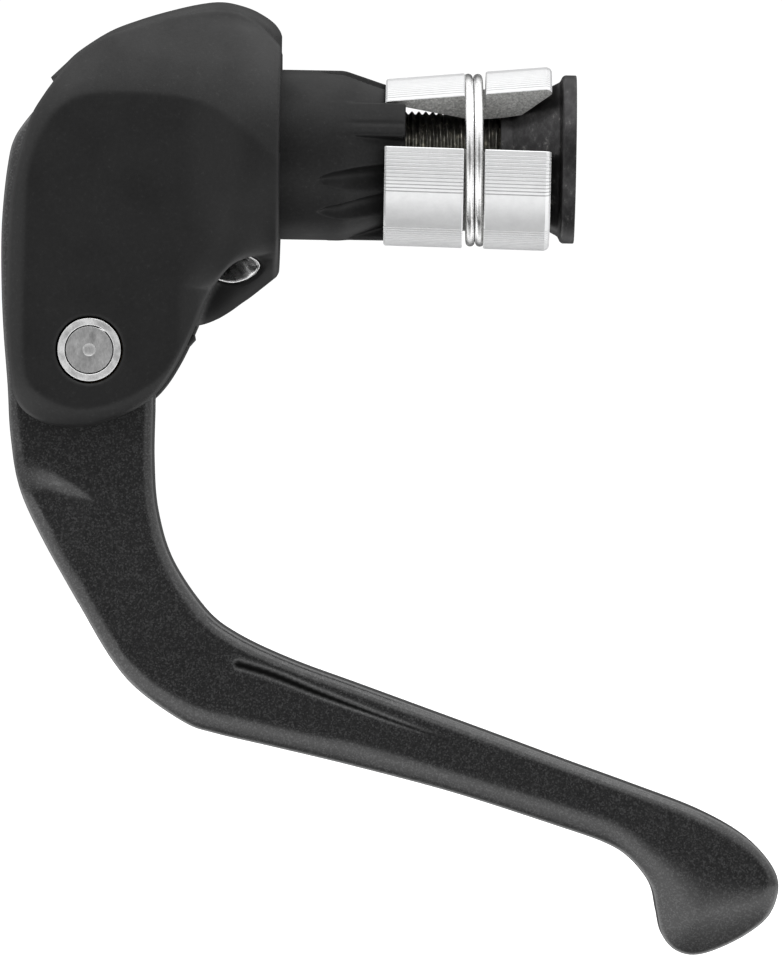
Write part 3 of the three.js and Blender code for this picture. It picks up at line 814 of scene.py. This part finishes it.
def ridge_line(half):
    """(degrees, depth share) across a segment's outer face: V grooves either side of the middle."""
    pitch = math.degrees(RIDGE_PITCH / SEGMENT_R)
    line = []
    angle = SMOOTH_BAND
    while angle + pitch < half - 0.8:
        line += [(angle, 0.0), (angle + 0.2 * pitch, 1.0), (angle + 0.4 * pitch, 0.0)]
        angle += pitch
    line += [(half - 0.6, 0.0), (half, 1.2)]
    middle = [(a, 0.0) for a in np.linspace(-SMOOTH_BAND, SMOOTH_BAND, 11)[1:-1]]
    return [(-a, d) for a, d in line[::-1]] + middle + line


def segment_bore(x, shift):
    """The bore's radius: a slope over the plug's seat, a cylinder, and a flare over the wedge."""
    seat = SEAT_R - 0.9 - shift - (x - SEGMENT_X[0]) * SEAT_FALL
    flare = SEGMENT_BORE_R + max(x - FLARE_X, 0.0) * FLARE_RISE
    return min(max(seat, flare), SEGMENT_R - SEGMENT_WALL)


def make_segment(name, middle, half, left_shift, right_shift, drop):
    left, right = SEGMENT_X
    line = ridge_line(half)
    share = np.array([depth for _, depth in line])
    inner_turn = np.linspace(half, -half, 25)
    turn = np.radians(np.r_[[angle for angle, _ in line], inner_turn] + middle)
    out_y, out_z = -math.cos(math.radians(middle)), math.sin(math.radians(middle))

    # place along the bar, and the radius taken off the outer face; None is the ring's groove
    stations = [(left, 0.18), (left + 0.2, 0.0), (12.8, 0.0), (14.6, 0.0), (16.4, 0.0), (18.0, 0.0),
                (19.6, 0.0), (19.72, 0.12), (19.72, None), (20.9, None), (21.98, None), (21.98, 0.12),
                (22.1, 0.0), (24.0, 0.0), (25.9, 0.0), (27.4, 0.0), (28.55, 0.0), (28.9, 0.18),
                (right, 0.5)]
    rings = []
    for x, cut_depth in stations:
        shift = mix(left_shift, right_shift, (x - left) / (right - left))
        if cut_depth is None:
            outer = np.full(len(line), RING_GROOVE_R)
        else:
            outer = SEGMENT_R - cut_depth - RIDGE_DEPTH * share
        r = np.r_[outer, np.full(len(inner_turn), segment_bore(x, left_shift))]
        rings.append(np.stack([np.full(len(r), x), -r * np.cos(turn) + out_y * shift,
                               r * np.sin(turn) + out_z * shift - drop], axis=1))
    count = len(turn)
    ridged = len(line)
    grooved = [cut_depth is None for _, cut_depth in stations]
    faces = ring_faces(len(rings), count, closed=False)
    kinds = [int(k >= ridged - 1 or before or after)
             for before, after in zip(grooved, grooved[1:]) for k in range(count)]
    inner = np.linspace(ridged, count - 1, ridged).round().astype(int)
    for i in (0, len(rings) - 1):
        for k in range(ridged - 1):
            a, b = i * count + inner[ridged - 1 - k], i * count + inner[ridged - 2 - k]
            quad = [i * count + k, i * count + k + 1, b, a]
            faces.append(quad if a != b else quad[:3])
            kinds.append(1)
    obj = make_object(f"segment_{name}", np.vstack(rings), faces, BRIGHT, BLASTED)
    obj.data.polygons.foreach_set("material_index", kinds)
    # Painted shade: the ridges' V grooves are darkened, standing in for the shade in them, and the upper
    # segment is darkened a little all over, standing in for less glare from the top light.
    upper_painted_shade = 0.3 if name == "upper" else 0.0
    ridges = np.r_[np.where(share < 1.1, np.maximum(share, upper_painted_shade), 0.0), np.zeros(len(inner_turn))]
    set_painted_shade(obj, np.concatenate([ridges * (not groove) for groove in grooved]))
    weld_and_face_out(obj)
    sharp_edges(obj, 20)
    declare(obj, f"segment_{name}", f"grip_segment_{name}")


RING_TURNS = 2.1
RING_PITCH = 1.04
RING_R = 8.85
RING_X = 20.85
RING_DROP = 0.25
RING_START = math.radians(-18)
WIRE_R = 0.5  # of the ring spring and the return spring


def make_ring():
    a = np.linspace(0, 2 * math.pi * RING_TURNS, 200)
    x = RING_X + RING_PITCH * (a / (2 * math.pi) - RING_TURNS / 2)
    path = np.stack([x, RING_R * np.cos(a + RING_START), RING_R * np.sin(a + RING_START) - RING_DROP], axis=1)
    obj = swept_wire("ring_spring", path, WIRE_R, POLISHED_STEEL, sides=16)
    declare(obj, "ring", "segment_ring")


# ---------- draw bolt and wedge ----------
BOLT_R = 4.92
BOLT_ROOT_R = 4.58
BOLT_BORE_R = 2.8
BOLT_SIDES = 72
THREAD_PITCH = 0.75
THREAD_X = (5.0, 30.6)
SOCKET_R = 4.6  # to the corners of the hex socket
SOCKET_X = (-16.0, -7.4)  # from clear of the head to the socket's floor


def make_bolt():
    start, end = THREAD_X
    steps = int((end - start) / THREAD_PITCH * (9))
    x = np.linspace(start, end, steps)[:, None]
    turn = np.linspace(0, 2 * math.pi, BOLT_SIDES, endpoint=False)
    phase = (x / THREAD_PITCH - turn / (2 * math.pi)) % 1.0
    height = 0.5 - 0.5 * np.cos(2.0 * math.pi * phase)
    fade = smoothstep(start, start + 1.0, x) * smoothstep(end, end - 0.8, x)
    thread_r = mix(BOLT_ROOT_R - 0.1, mix(BOLT_ROOT_R, BOLT_R, height), fade)
    head = [(-10.4, BOLT_BORE_R), (-10.4, 4.9), (-10.4, 6.5), (-10.1, 6.8), (-6.7, 6.8), (-6.4, 6.55),
            (-6.4, 4.45), (-6.3, 4.35), (4.9, 4.35)]
    tail = [(30.7, 4.3), (31.2, 3.9), (31.2, BOLT_BORE_R + 0.2), (31.0, BOLT_BORE_R)]
    rings = [np.stack([np.full(BOLT_SIDES, place), r * np.cos(turn), r * np.sin(turn)], axis=1)
             for place, r in [*head, *zip(x[:, 0], thread_r), *tail]]
    obj = lofted_object("bolt", rings, DARK_STEEL, closed=True)
    cut(obj, cutter_prism(SOCKET_R, 6, *SOCKET_X))
    weld_and_face_out(obj)
    sharp_edges(obj, 32)
    declare(obj, "draw_bolt", "draw_bolt")


def cutter_prism(radius, corners, low, high):
    """A prism along the bar's axis, to be cut out of a piece."""
    turn = np.radians(np.arange(corners) * 360.0 / corners + 30.0)
    rings = [np.stack([np.full(corners, x), radius * np.cos(turn), radius * np.sin(turn)], axis=1)
             for x in (low, high)]
    return lofted_object("cutter", rings, DARK_STEEL)


def cut(obj, tool):
    """Takes the tool's volume out of the object, and the tool out of the scene."""
    modifier = obj.modifiers.new("cut", "BOOLEAN")
    modifier.operation = "DIFFERENCE"
    modifier.solver = "EXACT"
    modifier.object = tool
    graph = bpy.context.evaluated_depsgraph_get()
    mesh = bpy.data.meshes.new_from_object(obj.evaluated_get(graph))
    obj.modifiers.clear()
    obj.data = mesh
    bpy.data.objects.remove(tool)


def make_wedge():
    profile = [(23.65, 5.0), (23.65, 5.6), (24.9, 5.62), (30.0, 8.35), (30.3, 8.95), (30.55, 9.1),
               (31.8, 9.1), (31.8, 8.3), (31.35, 7.9), (31.35, 5.6), (31.6, 5.05)]
    obj = turned_object("wedge_cone", rounded(profile, 0.16), ANODISED, sides=128, sharp=30)
    declare(obj, "wedge", "expander_wedge")


def make_washer_and_stop():
    profile = [(-6.1, 4.95), (-6.1, 6.8), (-5.3, 6.8), (-5.3, 4.95)]
    washer = turned_object("washer", rounded(profile, 0.12), POLISHED_STEEL, sides=72)
    declare(washer, "bracket", "bolt_washer")
    profile = [(-12.0, 1.1), (-12.0, 3.4), (-10.8, 3.4), (-10.8, 2.45), (-3.0, 2.45), (-3.0, 1.1)]
    stop = turned_object("cable_stop", rounded(profile), POLISHED_STEEL, sides=64)
    declare(stop, "draw_bolt", "casing_stop")


# ---------- axle, bushes, spring ----------
PIVOT = (PIVOT_X, 0, PIVOT_Z)
AXLE_R = 2.5
BUSH_R = (2.62, 3.4)
RUN_R = 2.85  # bore of the pieces that run on the axle
CLIP_GROOVE = (8.15, 9.05)
COIL_R = 4.9
COIL_TURNS = 3.47
COIL_PITCH = 1.35


def make_sleeve(name, ends, radii, edge, material, sides):
    """A plain sleeve round the axle, with rounded edges."""
    (low, high), (inner, outer) = ends, radii
    profile = rounded([(low, inner), (low, outer), (high, outer), (high, inner)], edge)
    return turned_object(name, profile, material, "Y", PIVOT, sides)


def make_axle():
    groove_low, groove_high = CLIP_GROOVE
    near = [(-10.22, 0.0), (-10.36, 0.5), (-10.4, 0.64), (-10.44, 0.7), (-10.44, AXLE_R - 0.06),
            (-10.38, AXLE_R)]
    far = [(groove_low, AXLE_R), (groove_low, 2.0), (groove_high, 2.0), (groove_high, AXLE_R), (10.0, AXLE_R),
           (10.2, 2.3), (10.2, 0.0)]
    axle = turned_object("pivot_pin", near + far, GROUND_STEEL, "Y", PIVOT, 96, 25)
    declare(axle, "bracket", "pivot_axle")
    for name, ends in (("near", (-10.42, -6.2)), ("far", (6.2, 7.95))):
        bush = make_sleeve(f"bush_{name}", ends, BUSH_R, 0.09, BRIGHT_STEEL, 96)
        declare(bush, "bracket", f"axle_bush_{name}")
    for name in ("near", "far"):
        low, high = node_box(f"lever_bushing_{name}")
        radii = (RUN_R, (high[0] - low[0]) / 2)
        bushing = make_sleeve(f"web_bushing_{name}", (low[1], high[1]), radii, 0.12, BRONZE, 72)
        declare(bushing, "lever", f"lever_bushing_{name}")
    low, high = node_box("spring_spool")
    spool = make_sleeve("spool", (low[1], high[1]), (RUN_R, 4.0), 0.2, RESIN, 72)
    declare(spool, "bracket", "spring_spool")


def make_clip():
    """A C-shaped clip in the axle's groove."""
    section = np.array(rounded([(8.25, 2.3), (8.25, 3.38), (8.95, 3.38), (8.95, 2.3)], 0.1))
    y, r = section.T
    rings = [np.stack([PIVOT_X + r * math.cos(turn), y, PIVOT_Z + r * math.sin(turn)], axis=1)
             for turn in np.radians(np.linspace(118, 422, 64))]
    obj = lofted_object("retaining_clip", rings, DARK_STEEL)
    sharp_edges(obj, 35)
    declare(obj, "bracket", "axle_retaining_clip")


def make_return_spring():
    half = COIL_TURNS * COIL_PITCH / 2
    share = np.linspace(0, 1, 150)
    a = 0.95 * math.pi + share * COIL_TURNS * 2 * math.pi
    coil = np.stack([COIL_R * np.cos(a), (2 * share - 1) * half, COIL_R * np.sin(a)], axis=1)
    first = smooth_curve([(-6.3, -half, 9.0), (-5.6, -half, 4.8), (-5.15, -half, 2.2), coil[0]], 6)
    last = smooth_curve([coil[-1], (5.5, half, 1.3), (6.6, half, 3.1), (8.1, half, 6.0)], 6)
    path = np.vstack([first[:-1], coil, last[1:]]) + np.array(PIVOT)
    obj = swept_wire("torsion_spring", path, WIRE_R, POLISHED_STEEL, sides=12)
    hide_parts("return_spring")
    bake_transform(obj)


# ---------- small pieces ----------
def make_port_ferrules():
    """Sleeves in the cable ports, cut off flush with the bracket's skin."""
    skin = bracket_field(whole=True)

    def field(x, y, z):
        along, away = along_port(x, y, z)
        tube = round_max(away - 2.12, 1.88 - away, 0.06)
        tube = np.maximum(tube, np.maximum(-3.2 - along, along - 3.4))
        return round_max(tube, skin(x, y, z) + 0.12, 0.1)

    step = 0.13
    reach = np.array((5.2, 4.0, 4.2))
    for name, side in (("near", 1.0), ("far", -1.0)):
        middle = PORT * (1.0, side, 1.0)
        obj = field_object(f"ferrule_{name}", field, middle - reach, middle + reach, step, PORT_STEEL)
        declare(obj, "bracket", f"port_ferrule_{name}")


def make_stop_bumper():
    outline = polygon([(-12.7, -20.9), (-9.5, -20.9), (-8.9, -20.2), (-9.0, -19.7), (-12.3, -19.7)])

    def field(x, y, z):
        return round_max(np.abs(y) - 3.0, outline.distance(x, z), 0.25)

    obj = field_object("bumper", field, (-13.2, -3.4, -21.4), (-8.4, 3.4, -19.2), 0.14, RUBBER)
    declare(obj, "bracket", "stop_bumper")


def make_cable_hook():
    def field(x, y, z):
        dx, dz = x - HOOK_X, z - HOOK_Z
        r = np.hypot(dx, dz)
        side = np.abs(y)
        barrel = round_max(r - 3.0, side - 3.1, 0.3)
        ends = round_max(r - 2.2, side - 5.3, 0.25)
        solid = round_min(barrel, ends, 0.15)
        from_cable = np.hypot(y, dz)
        solid = round_max(solid, 1.0 - from_cable, 0.12)
        head_seat = np.maximum(from_cable - 2.1, dx + 0.8)
        return round_max(solid, -head_seat, 0.12)

    low, high = node_box("cable_hook")
    obj = field_object("hook_barrel", field, low - 0.5, high + 0.5, 0.13, POLISHED_STEEL)
    declare(obj, "cable_hook", "cable_hook")


# ---------- floor, light and camera ----------
FLOOR_Z = -86.9
FLOOR_HALF = 3000.0


def make_floor():
    material = bpy.data.materials.new("floor")
    material.use_nodes = True
    shader = material.node_tree.nodes["Principled BSDF"]
    shader.inputs["Base Color"].default_value = (0.85, 0.85, 0.85, 1.0)
    shader.inputs["Emission Color"].default_value = (1.0, 1.0, 1.0, 1.0)
    shader.inputs["Emission Strength"].default_value = 0.55
    shader.inputs["Roughness"].default_value = 0.9
    shader.inputs["Specular IOR Level"].default_value = 0.0
    corners = [(x * FLOOR_HALF, y * FLOOR_HALF, FLOOR_Z) for x, y in ((-1, -1), (1, -1), (1, 1), (-1, 1))]
    floor = make_object("floor", corners, [[0, 1, 2, 3]], material)
    floor.visible_diffuse = False
    floor.visible_glossy = False


def make_world():
    """A white room, brightest above, that is darker where the flat faces on either side look."""
    world = bpy.data.worlds.new("studio")
    bpy.context.scene.world = world
    world.use_nodes = True
    nodes, links = world.node_tree.nodes, world.node_tree.links
    background = nodes["Background"]
    parts = nodes.new("ShaderNodeSeparateXYZ")
    links.new(nodes.new("ShaderNodeTexCoord").outputs["Generated"], parts.inputs["Vector"])

    def ramp(axis, *stops):
        spread = nodes.new("ShaderNodeMapRange")
        spread.inputs["From Min"].default_value = -1.0
        links.new(parts.outputs[axis], spread.inputs["Value"])
        node = nodes.new("ShaderNodeValToRGB")
        set_ramp(node, [((place + 1.0) / 2.0, level) for place, level in stops])
        links.new(spread.outputs["Result"], node.inputs["Fac"])
        return node.outputs["Color"]

    height = ramp("Z", (-1.0, 0.3), (-0.9, 0.55), (-0.68, 1.5), (-0.3, 1.3), (0.0, 0.58), (0.4, 0.95),
                  (0.8, 1.2), (1.0, 0.7))
    across = ramp("Y", (-0.96, 0.3), (-0.75, 1.0), (0.6, 1.0), (0.88, 0.12))
    room = nodes.new("ShaderNodeMix")
    room.data_type, room.blend_type = "RGBA", "MULTIPLY"
    room.inputs[FACTOR].default_value = 1.0
    links.new(height, room.inputs[FIRST])
    links.new(across, room.inputs[SECOND])
    choose = nodes.new("ShaderNodeMix")
    choose.data_type = "RGBA"
    links.new(nodes.new("ShaderNodeLightPath").outputs["Is Camera Ray"], choose.inputs[FACTOR])
    links.new(room.outputs[RESULT], choose.inputs[FIRST])
    choose.inputs[SECOND].default_value = (1.0, 1.0, 1.0, 1.0)
    links.new(choose.outputs[RESULT], background.inputs["Color"])
    background.inputs["Strength"].default_value = 1.05


def make_light(name, place, target, width, height, power):
    light = bpy.data.lights.new(name, "AREA")
    light.shape = "RECTANGLE"
    light.size, light.size_y = width * MM, height * MM
    light.energy = power
    obj = bpy.data.objects.new(name, light)
    way = Vector(target) - Vector(place)
    obj.location = Vector(place) * MM
    obj.rotation_euler = way.to_track_quat("-Z", "Y").to_euler()
    bpy.context.scene.collection.objects.link(obj)


CAMERA_DISTANCE = 1100.0
FOCUS_DISTANCE = 1098.5  # to the plane whose width fills the picture
FRAME_WIDTH = 84.6
FRAME_MIDDLE = (12.55, -35.0)
SENSOR_WIDTH = 36.0


def make_camera():
    data = bpy.data.cameras.new("camera")
    data.sensor_fit = "HORIZONTAL"
    data.sensor_width = SENSOR_WIDTH
    data.lens = SENSOR_WIDTH * FOCUS_DISTANCE / FRAME_WIDTH
    data.clip_start, data.clip_end = 0.01, 20.0
    camera = bpy.data.objects.new("camera", data)
    place = Vector((FRAME_MIDDLE[0], -CAMERA_DISTANCE, FRAME_MIDDLE[1])) * MM
    camera.matrix_world = (Matrix.Translation(place) @ Matrix.Rotation(math.pi / 2, 4, "X")
                           @ Matrix.Rotation(math.radians(1.0), 4, "Z"))
    bpy.context.scene.collection.objects.link(camera)
    bpy.context.scene.camera = camera


make_bracket()
make_plug()
for segment in SEGMENTS:
    make_segment(*segment)
make_ring()
make_bolt()
make_wedge()
make_washer_and_stop()
make_axle()
make_clip()
make_return_spring()
make_port_ferrules()
make_stop_bumper()
make_cable_hook()
make_lever()

make_floor()
make_world()
make_light("top", (20, -150, 620), (10, 0, -30), 900, 700, 2.0)
make_camera()
bpy.context.scene.view_settings.view_transform = "Standard"
